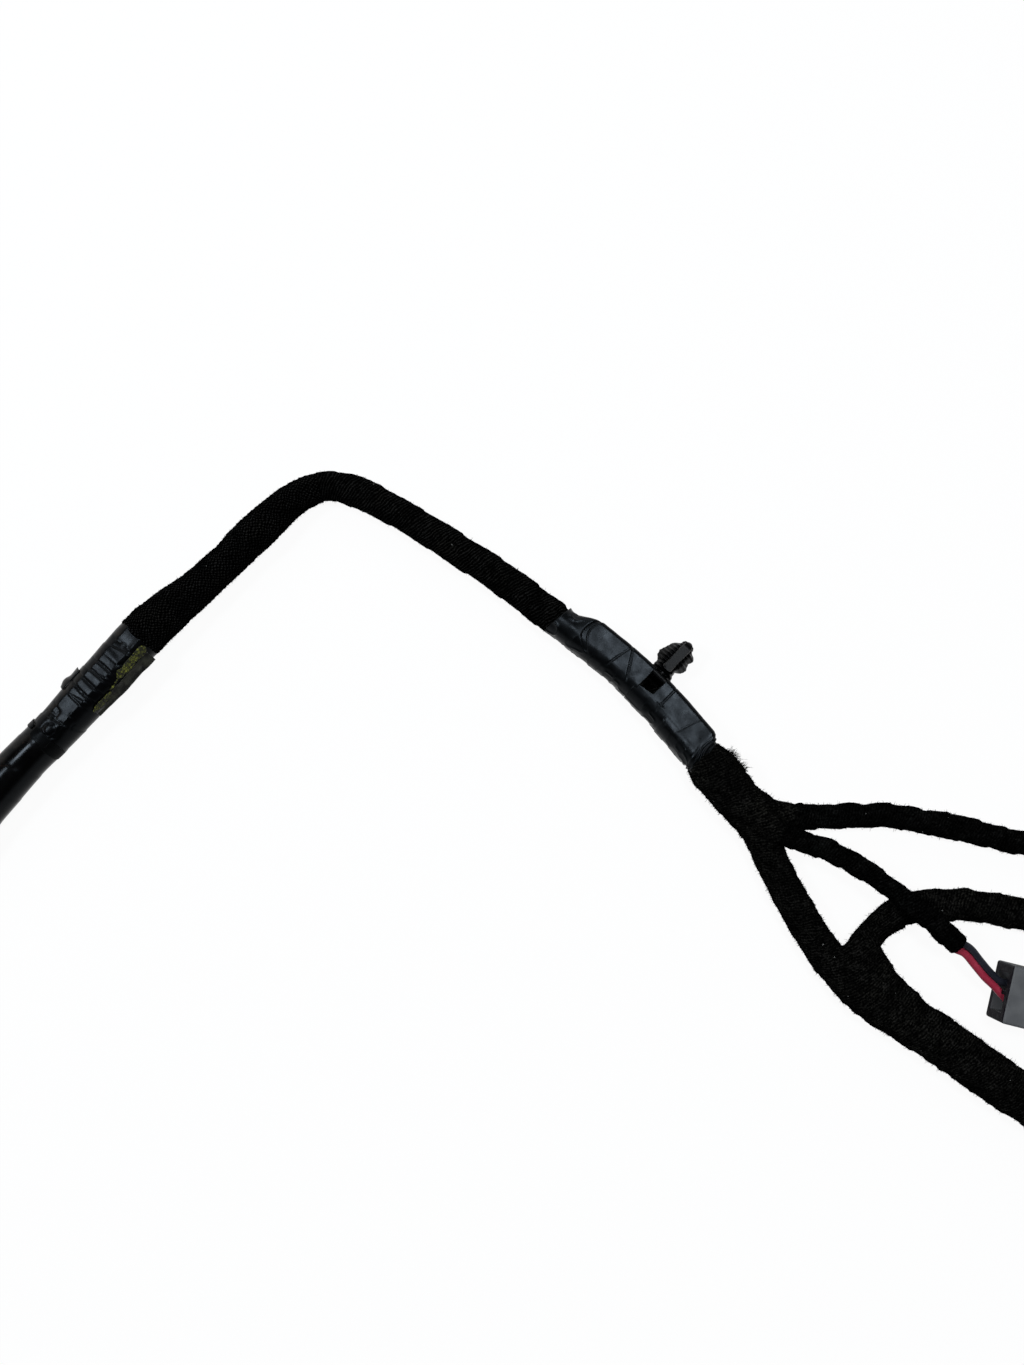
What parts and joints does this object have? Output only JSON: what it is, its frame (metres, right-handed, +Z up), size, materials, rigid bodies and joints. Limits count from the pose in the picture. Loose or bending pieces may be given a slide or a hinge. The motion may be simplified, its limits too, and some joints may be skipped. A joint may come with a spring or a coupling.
{
  "type": "wiring harness",
  "caption": "Taped wiring harness that lies flat: a bent trunk with a push-in clip, taped branches, a two-wire lead and multi-way connectors at its ends.",
  "frame": {"origin": "on the surface that the harness lies on, under the middle of the box of the trunk, its two end connectors and its clip", "axes": "+X to the right along the harness's longest extent, +Y away from the viewer, +Z up"},
  "size_m": [0.3809, 0.195, 0.0146],
  "materials": {
    "smooth_pvc": "smooth black tape film, glossy, with brown dust",
    "wrinkled_pvc": "wrinkled black tape film with blue-grey gloss",
    "clip_pvc": "black tape film pulled tight, satin",
    "yellow_film": "yellow-green marking film, crazed",
    "woven_textile": "black woven sleeve",
    "cloth_tape": "black cloth tape, spirally wound",
    "fleece_tape": "black fleece tape, fuzzy",
    "black_nylon": "moulded black nylon",
    "wire_bundle": "insulated wires",
    "red_insulation": "pinkish red wire insulation",
    "blue_black_insulation": "blue-black wire insulation",
    "grey_plastic": "dark grey moulded plastic",
    "black_plastic": "black moulded plastic",
    "seal_rubber": "brown sealing rubber",
    "tinned_contact": "tinned copper alloy contact"
  },
  "bodies": {
    "root": {"trunk_bundle": "wire_bundle", "left_tape_wrap": "smooth_pvc", "left_tape_overwrap": "wrinkled_pvc", "yellow_marker_tape": "yellow_film", "marker_tape_flag": "smooth_pvc", "loose_tape_tag": "smooth_pvc", "woven_sleeve": "woven_textile", "cloth_tape_wrap": "cloth_tape", "clip_tape_left": "clip_pvc", "clip_tape_right": "clip_pvc", "fir_tree_clip": "black_nylon", "junction_wrap_upper": "fleece_tape", "fleece_wrap_middle": "fleece_tape", "junction_wrap_lower": "fleece_tape", "branch_upper": "fleece_tape", "branch_lower": "fleece_tape", "branch_lead_sheath": "fleece_tape", "lead_wire_red": "red_insulation", "lead_wire_black": "blue_black_insulation", "lead_connector_housing": "grey_plastic", "lead_seal_1": "seal_rubber", "lead_seal_2": "seal_rubber", "lead_contact_1": "tinned_contact", "lead_contact_2": "tinned_contact", "left_connector_housing": "black_plastic", "left_connector_cover": "black_plastic", "left_connector_seal": "seal_rubber", "left_connector_contact_1": "tinned_contact", "left_connector_contact_2": "tinned_contact", "left_connector_contact_3": "tinned_contact", "left_connector_contact_4": "tinned_contact", "left_connector_contact_5": "tinned_contact", "left_connector_contact_6": "tinned_contact", "left_connector_contact_7": "tinned_contact", "left_connector_contact_8": "tinned_contact", "right_connector_housing": "black_plastic", "right_connector_cover": "black_plastic", "right_connector_seal": "seal_rubber", "right_connector_contact_1": "tinned_contact", "right_connector_contact_2": "tinned_contact", "right_connector_contact_3": "tinned_contact", "right_connector_contact_4": "tinned_contact", "right_connector_contact_5": "tinned_contact", "right_connector_contact_6": "tinned_contact", "upper_connector_housing": "black_plastic", "upper_connector_cover": "black_plastic", "upper_connector_seal": "seal_rubber", "upper_connector_contact_1": "tinned_contact", "upper_connector_contact_2": "tinned_contact", "upper_connector_contact_3": "tinned_contact", "upper_connector_contact_4": "tinned_contact", "lower_connector_housing": "black_plastic", "lower_connector_cover": "black_plastic", "lower_connector_seal": "seal_rubber", "lower_connector_contact_1": "tinned_contact", "lower_connector_contact_2": "tinned_contact", "lower_connector_contact_3": "tinned_contact", "lower_connector_contact_4": "tinned_contact"}
  },
  "joints": []
}
